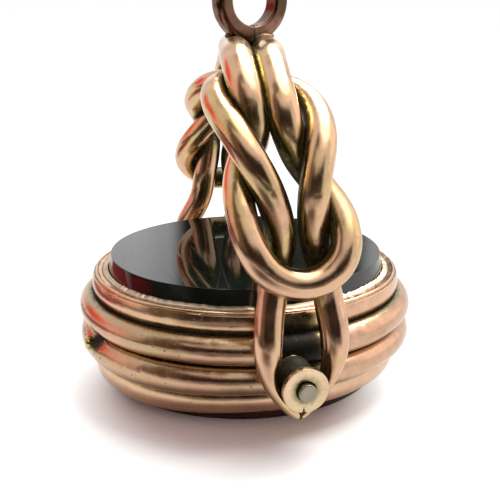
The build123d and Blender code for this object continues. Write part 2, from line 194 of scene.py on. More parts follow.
def worn_metal(name, clean, tired, dirt_and_shade=OLD_DIRT_AND_SHADE, drift=0.5, pitting=0.6, relief=0.012 * MM, crevice=None,
               dullness=0.0):
    """Material of worn metal; crevice is a plain amount for a piece that carries no crevice mark."""
    made, tree, shader, place = blank_material(name)
    run = add(tree, "UVMap", uv_map="run").outputs["UV"]
    mark = add(tree, "Attribute", attribute_name="crevice").outputs["Fac"] if crevice is None else crevice
    feeds = {"Place": place, "Run": run, "Crevice": mark, "Clean": clean, "Tired": tired, "Dirt and Shade": dirt_and_shade,
             "Drift": drift, "Pitting": pitting, "Dullness": dullness}
    look = add(tree, "Group", feeds, node_tree=WORN_METAL).outputs
    dress(tree, shader, look["Color"], look["Roughness"], look["Height"], relief)
    tree.links.new(look["Metal"], shader.inputs["Metallic"])
    shader.inputs["Specular IOR Level"].default_value = 0.2
    return made


def coat(node, material):
    """Gives a CAD node its material."""
    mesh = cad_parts[node].data
    mesh.materials.clear()
    mesh.materials.append(material)


band_gold = worn_metal("band_gold", ROSE_GOLD, TIRED_GOLD, drift=0.9, crevice=0.62)
coat("case_band", band_gold)

# Cement and bearers
# Brown shellac cement fills the case between the stones, round the pins, and holds the stones down.
# Each stone's back lies on a narrow soldered ledge. Both are shut in by the stones and the band.


def cement_material():
    """Dark brown shellac: noise of two sizes mixes two browns, and lifts a cast, slightly bubbly skin."""
    made, tree, shader, place = blank_material("shellac_cement")
    cloud = grain(tree, place, 700, 5, 0.6)
    bubbles = add(tree, "TexVoronoi", {"Vector": place, "Scale": 2600}, feature="F1").outputs["Distance"]
    brown = tint(tree, rise(tree, cloud, 0.35, 0.7), (0.050, 0.022, 0.010, 1), (0.14, 0.075, 0.035, 1))
    dress(tree, shader, brown, rise(tree, cloud, 0.0, 1.4), plus(tree, cloud, bubbles), 0.03 * MM)
    return made


coat("packing", cement_material())
coat("upper_bearer", band_gold)
coat("lower_bearer", band_gold)

# Ridge wires
# Two half-round wires of rose gold, bent round the band and soldered on side by side.
# Years of wear have pitted them and left dirt in the grooves, and a rivet notches them at one end. Their
# tops at the front are darkened as a painted dark reflection, and behind each eye they carry painted shade as
# well as grime.

RIDGE_RADIUS = 1.13 * MM
RIDGE_LAND = 0.09 * MM
RIDGE_MIDDLE = 1.15 * MM
END_RADIUS_SHARE = 0.937
OVAL_STEPS = 720
SHORT_HALF, LONG_HALF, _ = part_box("case_band")[1]
PIVOT_POINT = np.array([0, 0, PIVOT_HEIGHT])
RIVET_PLACE = PIVOT_POINT + np.array([2.6, -13.3, -0.75]) * MM


def oval_at(facing, offset):
    """Points of the four-arc oval by the way they face: each arc's centre plus its radius, grown by the
    offset, times the cosine and sine of that angle."""
    end = SHORT_HALF * END_RADIUS_SHARE
    end_shift = LONG_HALF - end
    side = (SHORT_HALF**2 + end_shift**2 - end**2) / (2 * (SHORT_HALF - end))
    side_shift = side - SHORT_HALF
    turn = math.atan2(end_shift, side_shift)
    across, along = np.cos(facing), np.sin(facing)
    on_end = np.abs(along) > math.sin(turn)
    radius = np.where(on_end, end, side) + offset
    x = np.where(on_end, 0, -side_shift * np.sign(across)) + radius * across
    y = np.where(on_end, end_shift * np.sign(along), 0) + radius * along
    return x, y


def around(steps):
    """Angles of a whole turn, in even steps."""
    return np.arange(steps) / steps * math.tau


def ramp(values, start, length):
    """Share that climbs from 0 at the start to 1 a length further on, both in millimetres; a negative length
    makes it climb the other way."""
    return np.clip((values / MM - start) / length, 0, 1)


def bell(values, reach, power=2):
    """Bell: e to minus the power of values over their reach."""
    return np.exp(-((values / reach) ** power))


def ring_grid(outline):
    """Outline of (outward, up) points carried round the oval: one row for each facing angle."""
    facing = around(OVAL_STEPS)[:, None]
    x, y = oval_at(facing, outline[None, :, 0])
    return np.stack([x, y, np.broadcast_to(outline[None, :, 1] + PIVOT_HEIGHT, x.shape)], -1)


def way(grid, axis, wrapped):
    """Step from the point before to the point after, along one way of a grid."""
    step = np.roll(grid, -1, axis) - np.roll(grid, 1, axis)
    if not wrapped:
        ends = np.diff(grid, axis=axis)
        step = np.concatenate([ends.take([0], axis), step.take(range(1, grid.shape[axis] - 1), axis),
                               ends.take([-1], axis)], axis)
    return step


def outward(grid, wrap=(True, True)):
    """Unit normals of a grid: the cross product of its two ways, turned so that they leave the volume."""
    normal = np.cross(way(grid, 0, wrap[0]), way(grid, 1, wrap[1]))
    normal *= np.sign(np.sum(normal * (grid - grid.mean((0, 1)))))
    return normal / np.maximum(norm(normal, axis=-1, keepdims=True), 1e-15)


def pressed(grid, spots, reach, depth, wrap=(True, True)):
    """Grid pushed in at each spot by its depth times a bell of its distance over its reach."""
    flat = grid.reshape(-1, 3)
    distance = norm(flat[:, None] - np.atleast_2d(spots)[None], axis=2)
    sink = (depth * bell(distance, reach)).sum(1)
    return grid - outward(grid, wrap) * sink.reshape(grid.shape[:2] + (1,))


def handled(grid, seed, dents, wave, wrap=(True, True)):
    """Grid with the marks of a hand-made, long-used piece: broad and short waves in its surface, each the
    mean of eight sines of random direction, and dents at random places."""
    rng = np.random.default_rng(seed)
    for length, share in ((3.5 * MM, 1.0), (1.1 * MM, 0.22)):
        turns = rng.normal(size=(8, 3)) * (math.tau / length) / 1.7
        waves = np.sin(grid @ turns.T + rng.uniform(0, math.tau, 8)).sum(-1, keepdims=True) / 8
        grid = grid + outward(grid, wrap) * waves * wave * share
    flat = grid.reshape(-1, 3)
    spots = flat[rng.integers(len(flat), size=dents)]
    reach = rng.uniform(0.12, 0.5, dents) * MM
    depth = rng.uniform(0.004, 0.022, dents) * MM
    return pressed(grid, spots, reach, depth, wrap)


def placed(name, data):
    """A new object in the scene."""
    made = bpy.data.objects.new(name, data)
    bpy.context.scene.collection.objects.link(made)
    return made


def skin(name, grid, wrap=(True, True), caps=False, **marks):
    """Mesh over a grid of points: neighbours join in quads, a wrapped way joins its last to its first, and
    caps close the first and last row in a fan. All faces turn over where the volume, the sum of each
    triangle's normal times its corner, is negative. The map named run holds metres along each way."""
    rows, cols = grid.shape[:2]
    i, j = np.meshgrid(np.arange(rows - (not wrap[0])), np.arange(cols - (not wrap[1])), indexing="ij")
    far_i, far_j = (i + 1) % rows, (j + 1) % cols
    corners = [i * cols + j, far_i * cols + j, far_i * cols + far_j, i * cols + far_j]
    faces = np.stack(corners, -1).reshape(-1, 4)
    step = [norm(way(grid, axis, wrap[axis]), axis=-1).mean() / 2 for axis in (0, 1)]
    map_u = np.stack([i, i + 1, i + 1, i], -1).reshape(-1, 4) * step[0]
    map_v = np.stack([j, j, j + 1, j + 1], -1).reshape(-1, 4) * step[1]
    points = grid.reshape(-1, 3)
    fans = np.zeros((0, 3), int)
    if caps:
        points = np.concatenate([points, grid[[0, -1]].mean(1)])
        rim, last = np.arange(cols), (rows - 1) * cols
        beside = (rim + 1) % cols
        near = np.stack([rim, beside, np.full(cols, rows * cols)], -1)
        far = np.stack([last + beside, last + rim, np.full(cols, rows * cols + 1)], -1)
        fans = np.concatenate([near, far])
    a, b, c = np.moveaxis(points[np.concatenate([faces[:, :3], faces[:, [0, 2, 3]], fans])], 1, 0)
    if np.sum(np.cross(b - a, c - a) * a) < 0:
        faces, fans, map_u, map_v = (part[:, ::-1] for part in (faces, fans, map_u, map_v))
    mesh = bpy.data.meshes.new(name)
    mesh.from_pydata(points.tolist(), [], faces.tolist() + fans.tolist())
    run = np.stack([map_u, map_v], -1).reshape(-1, 2)
    run = np.concatenate([run, np.zeros((fans.size, 2))])
    mesh.uv_layers.new(name="run").data.foreach_set("uv", run.astype(np.float32).ravel())
    for mark, amount in marks.items():
        amount = np.broadcast_to(amount, (rows, cols))
        values = np.concatenate([amount.ravel(), amount[[0, -1]].mean(1)]) if caps else amount.ravel()
        layer = mesh.attributes.new(mark, "FLOAT", "POINT")
        layer.data.foreach_set("value", values.astype(np.float32))
    mesh.shade_smooth()
    return placed(name, mesh)


def settle(piece, material, body, slot, *nodes):
    """Dresses a piece, sets it on its body and lets it stand for its CAD nodes."""
    piece.data.materials.append(material)
    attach(piece, body)
    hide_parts(*nodes)


def other_face(grid):
    """The same piece on the other face: a half turn about the pivot axis."""
    return (grid - PIVOT_POINT) * [1, -1, -1] + PIVOT_POINT


# Name, number for the seeds, and place of what each face carries
FACES = (("upper", 1, lambda grid: grid), ("lower", 2, other_face))


def eased(share):
    """Smooth step of a share between 0 and 1: three times its square less twice its cube."""
    return share**2 * (3 - 2 * share)


def settled_low(grid):
    """The lower side's wires and rim sit a little lower at the rivet's end: 0.12 more of their depth under
    the pivot, by a smooth step along the oval."""
    share = eased(ramp(-grid[..., 1], 1.5, 9))
    under = np.minimum(grid[..., 2] - PIVOT_HEIGHT, 0)
    return grid + (0.12 * share * under)[..., None] * [0, 0, 1]


def ridge_outline():
    """Half round of the ridge's radius on a narrow land, with two points behind it on the band's wall."""
    swing = np.linspace(-math.pi / 2, math.pi / 2, 49)
    round_side = [RIDGE_LAND, RIDGE_MIDDLE] + RIDGE_RADIUS * np.stack([np.cos(swing), np.sin(swing)], -1)
    back = np.array([[0, RIDGE_MIDDLE + RIDGE_RADIUS], [0, RIDGE_MIDDLE], [0, RIDGE_MIDDLE - RIDGE_RADIUS]])
    return np.concatenate([round_side, back])


def dirt_and_shade_in_eye(grid):
    """Mark of the grime trapped on the case behind each eye, and of the painted shade there: 1 in the middle
    of the eye's opening, falling off by the fourth power of the distance past its edges."""
    across = (grid[..., 1] - 0.25 * MM) / (2.8 * MM)
    up = (grid[..., 2] - PIVOT_HEIGHT - 0.9 * MM) / (3.2 * MM)
    return np.clip(1.1 * bell(across**2 + up**2, 1), 0, 1) * (np.abs(grid[..., 0]) > 0.7 * SHORT_HALF)


def bell_round(grid, middle, half_width):
    """Flat-topped bell of the way round the oval, in degrees: by the fourth power of the angle off its
    middle."""
    way_round = np.degrees(np.arctan2(grid[..., 1], grid[..., 0]))
    return bell(way_round - middle, half_width, 4)


def dark_stretch_at_left(grid, low, high):
    """Mark of the wide darker stretch of the groove under the upper rim, at the rivet's end of the oval: most
    between two heights in millimetres, times a bell of the way round."""
    up = grid[..., 2] - PIVOT_HEIGHT
    return 0.62 * bell_round(grid, -72, 38) * (ramp(up, low, 0.2) * ramp(up, high, -0.2))


ridge_gold = worn_metal("ridge_gold", (0.61, 0.37, 0.245, 1), (0.42, 0.33, 0.17, 1), drift=0.6, pitting=1.0,
                        relief=0.016 * MM)
for face, number, lie in FACES:
    name = f"{face}_ridge_wire"
    outline = ridge_outline()
    ridge = handled(lie(ring_grid(outline - [0.02 * MM, 0])), 10 + number, 110, 0.02 * MM)
    beside = RIVET_PLACE + np.array([[0.55, -0.1, 0.62], [1.15, 0.1, 0.70], [1.8, 0.3, 0.72]]) * MM
    ridge = settled_low(pressed(ridge, beside, 0.40 * MM, 0.34 * MM))
    on_top = ramp(ridge[..., 2] - PIVOT_HEIGHT, 1.45 if face == "upper" else -0.75, 0.4)
    # Painted dark reflection: the tops of the ridges on the side towards the front are darkened, standing in
    # for the dark room that they reflect
    painted_dark_reflection = (0.14 + 0.20 * bell_round(ridge, -30, 44)) * on_top
    notch = RIVET_PLACE + np.array([1.0, 0.1, 0.62]) * MM
    by_rivet = bell(norm(ridge - notch, axis=-1), 1.15 * MM, 4)
    in_groove = np.maximum(ramp(outline[:, 0], 0.78, -0.78), dark_stretch_at_left(ridge, 2.12, 2.6))
    crevice = np.max([in_groove, painted_dark_reflection, by_rivet, dirt_and_shade_in_eye(ridge)], 0)
    piece = skin(name + "_worn", ridge, crevice=crevice)
    settle(piece, ridge_gold, "spinner", "rose_gold", name)

# Rims
# A rolled moulding of rose gold on each edge of the band, rounded outside, with a hairline scribed round
# it and a fine bright lip inside that. Its flat top runs to the bezel.


def softened(corners, radius, steps=7):
    """Closed outline with each corner cut by a curve that starts and ends a radius away: a weighted mean of
    the corner and the two points beside it, squared weights, with one holding point on each side."""
    corners = np.asarray(corners, float)
    before = np.roll(corners, 1, 0) - corners
    after = np.roll(corners, -1, 0) - corners
    start = before * np.minimum(radius / norm(before, axis=1), 0.42)[:, None]
    end = after * np.minimum(radius / norm(after, axis=1), 0.42)[:, None]
    s = np.linspace(0, 1, steps)[None, :, None]
    curve = corners[:, None] + start[:, None] * (1 - s) ** 2 + end[:, None] * s**2
    hold_in = corners[:, None] + start[:, None] * 1.15
    hold_out = corners[:, None] + end[:, None] * 1.15
    return np.concatenate([hold_in, curve, hold_out], 1).reshape(-1, 2)


def arc_through(start, middle, end, steps):
    """Points of a shallow bulge from start to end: the chord plus a half sine wave towards the middle
    point."""
    start, middle, end = (np.asarray(p, float) for p in (start, middle, end))
    s = np.linspace(0, 1, steps)[:, None]
    return start + (end - start) * s + (middle - (start + end) / 2) * np.sin(math.pi * s)


def rim_outline():
    """Bulged outer face, a scribed hairline, the fine round lip, the flat top, and the wall by the bezel."""
    face = arc_through((-0.03, 2.33), (0.14, 3.0), (0.0, 3.74), 22)
    corners = [(-0.07, 3.83), (-0.12, 3.80), (-0.17, 3.93), (-0.28, 3.985), (-0.40, 3.955), (-0.70, 3.93)]
    top = softened(corners, np.array([0.04, 0.02, 0.05, 0.06, 0.05, 0.03]), 5)
    foot = [(-0.70, 2.30), (-0.40, 2.30), (-0.08, 2.30)]
    return np.concatenate([face, top, foot]) * MM


rim_gold = worn_metal("rim_gold", (0.70, 0.435, 0.29, 1), TIRED_GOLD, drift=0.25, pitting=0.5)
for face, number, lie in FACES:
    name = f"{face}_rim"
    outline = rim_outline()
    rim = settled_low(handled(lie(ring_grid(outline)), 20 + number, 60, 0.012 * MM))
    off, up = outline.T
    scribed = bell(off + 0.12 * MM, 0.018 * MM) * (up < 3.88 * MM)
    crevice = np.max([ramp(up, 2.72, -0.42), scribed, ramp(off, -0.64, -0.06) * 0.5], 0)
    crevice = np.maximum(crevice, dirt_and_shade_in_eye(rim) * (up < 3.75 * MM))
    crevice = np.maximum(crevice, dark_stretch_at_left(rim, 2.0, 2.62))
    piece = skin(name + "_worn", rim, crevice=crevice)
    settle(piece, rim_gold, "spinner", "rose_gold", name)

# Bezels
# A thin strip of yellower gold stands inside each rim and was pushed over against the stone by hand,
# which left its edge uneven. Green-black polish has caught along it.


def bezel_outline():
    """Upright strip whose top leans over on to the stone's slope."""
    corners = [(-1.12, 2.0), (-0.70, 2.0), (-0.70, 3.94), (-0.80, 4.03), (-1.18, 4.12), (-1.13, 3.72)]
    return softened(corners, 0.07) * MM


def bezel_grid(seed):
    """Strip with a softened section, whose top edge rises and falls by a sum of sines along the oval."""
    outline = bezel_outline()
    grid = ring_grid(outline)
    rng = np.random.default_rng(seed)
    facing = around(OVAL_STEPS)[:, None]
    counts = rng.integers(9, 160, 26)
    ragged = (np.sin(facing * counts + rng.uniform(0, math.tau, 26)) / np.sqrt(counts)).sum(1, keepdims=True)
    grid[..., 2] += ragged * ramp(outline[:, 1], 3.4, 0.55) * 0.05 * MM
    return grid


bezel_gold = worn_metal("bezel_gold", (0.60, 0.47, 0.35, 1), (0.40, 0.36, 0.25, 1), drift=0.8, pitting=1.0,
                        relief=0.028 * MM, dullness=0.24)
for face, number, lie in FACES:
    name = f"{face}_bezel"
    bezel = handled(lie(bezel_grid(30 + number)), 30 + number, 160, 0.02 * MM)
    off, up = bezel_outline().T
    crevice = 0.10 + 0.3 * ramp(up, 4.0, -0.12) + 0.5 * ramp(off, -1.14, -0.02)
    piece = skin(name + "_worn", bezel, crevice=crevice)
    settle(piece, bezel_gold, "spinner", "yellow_gold", name)

# Stones
# Polished flat ovals with a sloped edge, the upper one near-black green with dark red in it, the lower one
# red-brown, though its colours are kept near black as painted shade, so that it sinks into the shadow under
# the case. Each lies on its ledge in the cement, and the bezel is burnished against its foot.

# Millimetres up from the pivot, and outward from the band's oval
FACE_HEIGHT = 5.27
SHOULDER_HEIGHT = 3.72
SEAT_HEIGHT = 2.0
STONE_OFFSET = -1.15
FACE_OFFSET = -1.45

# Which ways of a grid close on themselves, on a piece with two ends
OPEN_ENDS = (False, True)


def stone_grid():
    """Closed oval block: a profile of offsets and heights from the middle of the face, over its edge, down
    the slope and the girdle, to the middle of the back; points nearer the middle are shrunk towards it."""
    inner = FACE_OFFSET - 3
    corners = [(inner, FACE_HEIGHT), (FACE_OFFSET, FACE_HEIGHT), (STONE_OFFSET, SHOULDER_HEIGHT),
               (STONE_OFFSET, SEAT_HEIGHT), (inner, SEAT_HEIGHT)]
    edge = softened(corners, 0.035, 5)
    edge = edge[edge[:, 0] > FACE_OFFSET - 2.5]
    facing = around(OVAL_STEPS)[None, :]
    x, y = oval_at(facing, edge[:, 0:1] * MM)
    z = np.broadcast_to(edge[:, 1:2] * MM, x.shape)
    grid = np.stack([x, y, z], -1)
    shrink = np.array([0.02, 0.15, 0.4, 0.7, 0.9, 0.99])[:, None, None] * [1, 1, 0] + [0, 0, 1]
    return np.concatenate([grid[:1] * shrink, grid, grid[-1:] * shrink[::-1]]) + PIVOT_POINT


def hairline_group():
    """Mask of fine straight scratches: three stretched noises at different angles, cut off high."""
    tree, given, put = group_of("hairlines", [("Place", "Vector")], [("Mask", "Float")])
    masks = []
    for angle, spread in ((0.3, 5200), (1.9, 6400), (-0.7, 4300)):
        lie = add(tree, "Mapping", {"Vector": given["Place"], "Rotation": (0, 0, angle),
                                    "Scale": (230, spread, 230)})
        masks.append(rise(tree, grain(tree, lie.outputs[0], 1, 1), 0.73, 0.77))
    most = larger(tree, larger(tree, masks[0], masks[1]), masks[2])
    tree.links.new(most, put["Mask"])
    return tree


HAIRLINES = hairline_group()


def apart(tree, place, axis):
    """One coordinate of a place."""
    return add(tree, "SeparateXYZ", {0: place}).outputs[axis]


def distance_to(tree, place, middle):
    """Distance of a place from a fixed point."""
    return add(tree, "VectorMath", {0: place, 1: middle}, operation="DISTANCE").outputs["Value"]


def stone_material(name, ground, deep, vein, vein_middle, fleck):
    """Polished stone: two grounds in soft clouds, a vein colour gathered round one place, fine flecks,
    and hairlines that only dull the polish."""
    made, tree, shader, place = blank_material(name)
    cloud = grain(tree, place, 330, 5, 0.6)
    spots = grain(tree, place, 1500, 4, 0.7)
    colour = tint(tree, rise(tree, cloud, 0.40, 0.62), ground, deep)
    reach = plus(tree, distance_to(tree, place, vein_middle), times(tree, cloud, 3.0 * MM))
    depth = sum_of(tree, "ABSOLUTE", sum_of(tree, "SUBTRACT", apart(tree, place, 2), PIVOT_HEIGHT), 0)
    below = rise(tree, depth, (FACE_HEIGHT - 0.02) * MM, (FACE_HEIGHT - 0.30) * MM)
    veined = times(tree, rise(tree, reach, 6.2 * MM, 4.2 * MM), below)
    colour = tint(tree, veined, colour, vein)
    colour = tint(tree, rise(tree, spots, 0.66, 0.72), colour, fleck)
    lines = add(tree, "Group", {"Place": place}, node_tree=HAIRLINES).outputs["Mask"]
    polish = plus(tree, times(tree, lines, 0.22), times(tree, cloud, 0.04))
    dress(tree, shader, colour, polish, lines, 0.0006 * MM)
    shader.inputs["IOR"].default_value = 1.62
    return made


green_stone = stone_material("dark_green_stone", (0.006, 0.009, 0.007, 1), (0.011, 0.017, 0.013, 1),
                             (0.105, 0.006, 0.009, 1), (2.2 * MM, -10.6 * MM, PIVOT_HEIGHT + 4.4 * MM),
                             (0.020, 0.012, 0.010, 1))
# Painted shade: the lower stone's colours are kept near black, so that it sinks into the shadow under the
# case
red_stone = stone_material("red_brown_stone", (0.030, 0.006, 0.004, 1), (0.055, 0.011, 0.006, 1),
                           (0.10, 0.030, 0.015, 1), (3.0 * MM, 8.0 * MM, PIVOT_HEIGHT - 4.4 * MM),
                           (0.04, 0.008, 0.005, 1))
for (face, _, lie), stone, slot in zip(FACES, (green_stone, red_stone), ("dark_stone", "red_stone")):
    block = skin(f"{face}_stone_polished", lie(stone_grid()), OPEN_ENDS, True)
    settle(block, stone, "spinner", slot, f"{face}_stone")

# Rivet
# A small yellow pin through the lower ridge beside the middle groove, set when the case was mended,
# its end domed by the hammer.

GREEN_GOLD = (0.34, 0.32, 0.15, 1)


def turned(outline, steps):
    """Outline of (along, radius) points swung about the X axis at the pivot's height."""
    swing = around(steps)[None, :]
    radius = outline[:, 1:2]
    x = np.broadcast_to(outline[:, 0:1], (len(outline), steps))
    return np.stack([x, radius * np.cos(swing), radius * np.sin(swing) + PIVOT_HEIGHT], -1)


rivet_outline = np.array([
    (11.1, 0.10), (11.1, 0.43), (11.14, 0.45), (13.0, 0.45), (13.30, 0.50), (13.46, 0.57),
    (13.60, 0.59), (13.72, 0.55), (13.81, 0.45), (13.86, 0.31), (13.88, 0.14),
]) * MM
rivet = turned(rivet_outline, 48) - PIVOT_POINT
rivet = np.stack([rivet[..., 1], -rivet[..., 0], rivet[..., 2]], -1)
rivet = rivet + [2.55 * MM, 0, PIVOT_HEIGHT - 0.88 * MM]
rivet = handled(rivet, 41, 3, 0.008 * MM, OPEN_ENDS)
rivet_gold = worn_metal("rivet_gold", (0.74, 0.58, 0.26, 1), GREEN_GOLD, drift=0.3, pitting=0.6)
piece = skin("side_rivet_end", rivet, OPEN_ENDS, True, crevice=ramp(rivet[..., 1], -13.22, 0.1))
settle(piece, rivet_gold, "spinner", "yellow_gold", "side_rivet")

# Pivot pins and collars
# Each pin is a grey steel rod, headed inside the band and filed off outside. A soldered collar of yellow
# gold on it spaces the yoke off the case.


def both_arms(make):
    """Runs a maker of one piece for the front arm and, turned half round, for the rear one."""
    for arm, way_round in (("front", [1, 1, 1]), ("rear", [-1, -1, 1])):
        make(arm, np.array(way_round))


steel = worn_metal("filed_steel", (0.34, 0.30, 0.235, 1), (0.21, 0.18, 0.13, 1), (0.05, 0.04, 0.03, 1),
                   drift=0.8, pitting=0.8, relief=0.03 * MM)
collar_gold = worn_metal("collar_gold", (0.60, 0.48, 0.24, 1), GREEN_GOLD, drift=0.9)


def pin(arm, turn):
    """Head, shank and slightly domed filed end, from one outline."""
    shape = np.array([
        (10.15, 0.10), (10.15, 1.20), (10.18, 1.25), (10.62, 1.25), (10.65, 1.22), (10.65, 0.70),
        (10.68, 0.65), (13.0, 0.65), (16.33, 0.66), (16.40, 0.65), (16.44, 0.63), (16.455, 0.58),
        (16.468, 0.48), (16.476, 0.36),
    ]) * MM
    grid = handled(turned(shape, 72), 51, 6, 0.010 * MM, OPEN_ENDS) * turn
    crevice = ramp(np.abs(grid[..., 0]), 16.2, -0.1) * 0.8
    piece = skin(f"{arm}_pin_filed", grid, OPEN_ENDS, True, crevice=crevice)
    settle(piece, steel, "spinner", "steel", f"{arm}_pivot_pin")


def collar(arm, turn):
    """Short tube from inside the band's wall to just past the ridges."""
    outline = softened([(11.30, 0.66), (12.95, 0.66), (12.95, 1.25), (11.30, 1.25)], 0.06) * MM
    grid = turned(outline, 72) * turn
    crevice = np.maximum(ramp(np.abs(grid[..., 0]), 12.9, -0.5), 0.45)
    piece = skin(f"{arm}_collar_soldered", grid, crevice=crevice)
    settle(piece, collar_gold, "spinner", "yellow_gold", f"{arm}_pin_collar")


both_arms(pin)
both_arms(collar)

# Bushes and washers
# A tube of yellow gold between the legs of each eye turns on the pin, and a flat rose gold washer closes
# its outer end. Green-black dirt covers the tube, and use has kept the washer's face bright.

# In millimetres
BUSH_RADIUS = 1.30
washer_gold = worn_metal("washer_gold", (0.80, 0.57, 0.40, 1), (0.52, 0.43, 0.22, 1), drift=0.6, pitting=0.4)


def bush(arm, turn):
    """Tube with softened ends."""
    outline = softened([(13.0, 0.70), (15.55, 0.70), (15.55, BUSH_RADIUS), (13.0, BUSH_RADIUS)], 0.05) * MM
    grid = handled(turned(outline, 96), 61, 30, 0.02 * MM) * turn
    piece = skin(f"{arm}_bush_tube", grid, crevice=0.86)
    settle(piece, collar_gold, "yoke", "yellow_gold", f"{arm}_bush")


def washer(arm, turn):
    """Flat ring with softened edges, and a nick filed at the bottom."""
    outline = softened([(15.55, 0.70), (16.05, 0.70), (16.05, 1.65), (15.55, 1.65)], 0.06) * MM
    grid = handled(turned(outline, 160), 62, 26, 0.012 * MM) * turn
    nick = np.array([16.05, -0.12, -1.62]) * MM * turn + PIVOT_POINT
    grid = pressed(grid, nick, 0.13 * MM, 0.12 * MM)
    by_bore = ramp(norm((grid - PIVOT_POINT)[..., 1:], axis=-1), 0.95, -0.22) * 0.7
    # Painted shade: the inner face, against the bush and the legs, is darkened
    behind = np.minimum(ramp(np.abs(grid[..., 0]), 15.8, -0.2), 0.8)
    piece = skin(f"{arm}_washer_face", grid, crevice=np.maximum(by_bore, behind))
    settle(piece, washer_gold, "yoke", "rose_gold", f"{arm}_bush_washer")


both_arms(bush)
both_arms(washer)

# Yoke wire
# One length of round rose gold wire, closed on itself: it runs side by side over the arch and down both
# arms, and its ends are the bights that lock each knot. It was bent by hand, so it is dented and uneven.

WIRE_RADIUS = 1.07 * MM
ARCH_REACH = 14.3 * MM
ARCH_RISE = 21.35 * MM
ARCH_POWER = 2.7
KNOT_WIDTH = 10.0 * MM
LAYER_STEP = 1.05 * MM
CROWN_EXTRA = 0.11 * MM
WIRE_SIDES = 44
PATH_STEP = 0.11 * MM
SPLINE_SAMPLES = 6000

# Route on the +X arm: degrees up the arch, share of the knot's width across, share of a layer outward
YOKE_ROUTE_SHARES = np.array([
    (84.0, -0.172, 0.10), (76.5, -0.240, 0.70), (68.5, -0.278, 1.00), (61.0, -0.290, 1.00),
    (55.0, -0.268, 0.65), (50.0, -0.240, 0.00), (46.0, -0.256, -0.70), (41.5, -0.308, -1.00),
    (36.5, -0.368, -0.95), (31.5, -0.400, -0.45), (27.0, -0.398, 0.00), (22.9, -0.384, 0.40),
    (19.1, -0.345, 0.85), (15.9, -0.266, 1.00), (13.9, -0.145, 1.00), (13.3, -0.015, 1.00),
    (13.8, 0.095, 1.00), (15.1, 0.195, 1.00), (17.1, 0.265, 1.00), (19.8, 0.305, 0.80),
    (23.0, 0.315, 0.30), (26.5, 0.298, -0.30), (30.8, 0.235, -0.85), (35.4, 0.145, -1.00),
    (40.0, 0.060, -0.90), (44.2, 0.000, -0.15), (48.5, -0.044, 0.50), (54.0, -0.062, 1.00),
    (61.0, -0.066, 1.00), (69.0, -0.045, 1.00), (76.5, 0.010, 0.60), (84.0, 0.070, 0.10),
])


def on_arch(shares):
    """Places by rows of (degrees, across, layer) and the arch's outward normals there. The arch is a
    superellipse: reach times the cosine, and rise times the sine, each to the power of 2 over ARCH_POWER."""
    angle = np.radians(shares[:, 0])
    reach = np.cos(angle) ** (2 / ARCH_POWER)
    climb = np.sin(angle) ** (2 / ARCH_POWER)
    none = np.zeros(len(shares))
    outer = reach ** (ARCH_POWER - 1) / ARCH_REACH
    upper = climb ** (ARCH_POWER - 1) / ARCH_RISE
    normal = np.stack([outer, none, upper], -1)
    normal /= norm(normal, axis=1, keepdims=True)
    place = np.stack([ARCH_REACH * reach, KNOT_WIDTH * shares[:, 1], ARCH_RISE * climb + PIVOT_HEIGHT], -1)
    return place + normal * LAYER_STEP * shares[:, 2:], normal


def smooth_run(rows, step, closed):
    """Uniform cubic B-spline through rows of control values, taken at even steps of its own length: each
    point weighs four neighbouring rows by the cubic basis; open ends are mirrored so that it reaches them."""
    if closed:
        rows = np.concatenate([rows[-1:], rows, rows[:2]])
    else:
        rows = np.concatenate([2 * rows[:1] - rows[1:2], rows, 2 * rows[-1:] - rows[-2:-1]])

    def at(t):
        i = np.minimum(t.astype(int), len(rows) - 4)
        f = (t - i)[:, None]
        weights = ((1 - f) ** 3, 3 * f**3 - 6 * f**2 + 4, -3 * f**3 + 3 * f**2 + 3 * f + 1, f**3)
        return sum(w * rows[i + k] for k, w in enumerate(weights)) / 6

    t = np.linspace(0, len(rows) - 3, SPLINE_SAMPLES)
    length = np.concatenate([[0], np.cumsum(norm(np.diff(at(t)[:, :3], axis=0), axis=1))])
    count = int(length[-1] / step)
    return at(np.interp(np.linspace(0, length[-1], count, endpoint=not closed), length, t))


def wire_grid(path, normal, depth, width, closed):
    """Section carried along a path: place plus depth times cosine along the arch's normal, squared up to the
    path, plus width times sine across it."""
    along = way(path[:, None], 0, closed)[:, 0]
    along /= norm(along, axis=1, keepdims=True)
    up = normal - (normal * along).sum(1, keepdims=True) * along
    up /= norm(up, axis=1, keepdims=True)
    side = np.cross(along, up)
    swing = around(WIRE_SIDES)[None, :, None]
    deep = np.broadcast_to(depth, len(path))[:, None, None]
    wide = np.broadcast_to(width, len(path))[:, None, None]
    return path[:, None] + deep * np.cos(swing) * up[:, None] + wide * np.sin(swing) * side[:, None]


def half_turn(values):
    """Rows turned half round the upright axis, places and normals alike."""
    return values * ([-1, -1, 1] * (values.shape[1] // 3))


def leaned(line):
    """The rear arm's own bend, taken as if it were the front arm: bells of the height squeeze its knot, lower
    at its top and higher at its foot, and it leans to -Y by a smooth step. The crown stays where it is."""
    up = (line[:, 2] - PIVOT_HEIGHT) / MM
    lean = eased(np.clip((up - 3) / 4, 0, 1) * np.clip((18 - up) / 7, 0, 1))
    lift = (0.5 * bell(up - 7.5, 2.6) - 1.2 * bell(up - 17.8, 2.5)) * eased(ramp(line[:, 0], 0, 6))
    return line + np.stack([0 * up, -0.45 * bell(up - 6, 2.5) - 0.7 * lean, lift], -1) * MM


yoke_rows = np.concatenate(on_arch(YOKE_ROUTE_SHARES), 1)
yoke_run = smooth_run(np.concatenate([yoke_rows, half_turn(yoke_rows)]), PATH_STEP, True)
yoke_line = yoke_run[:, :3]
yoke_line = np.where(yoke_line[:, :1] < 0, half_turn(leaned(half_turn(yoke_line))), yoke_line)

# Knot wires
# A second wire locks each reef knot: its bight passes round the yoke wire, and its two ends come down side
# by side, flattened and thinned by the hammer, to close round the bush as an eye with a seam under it.

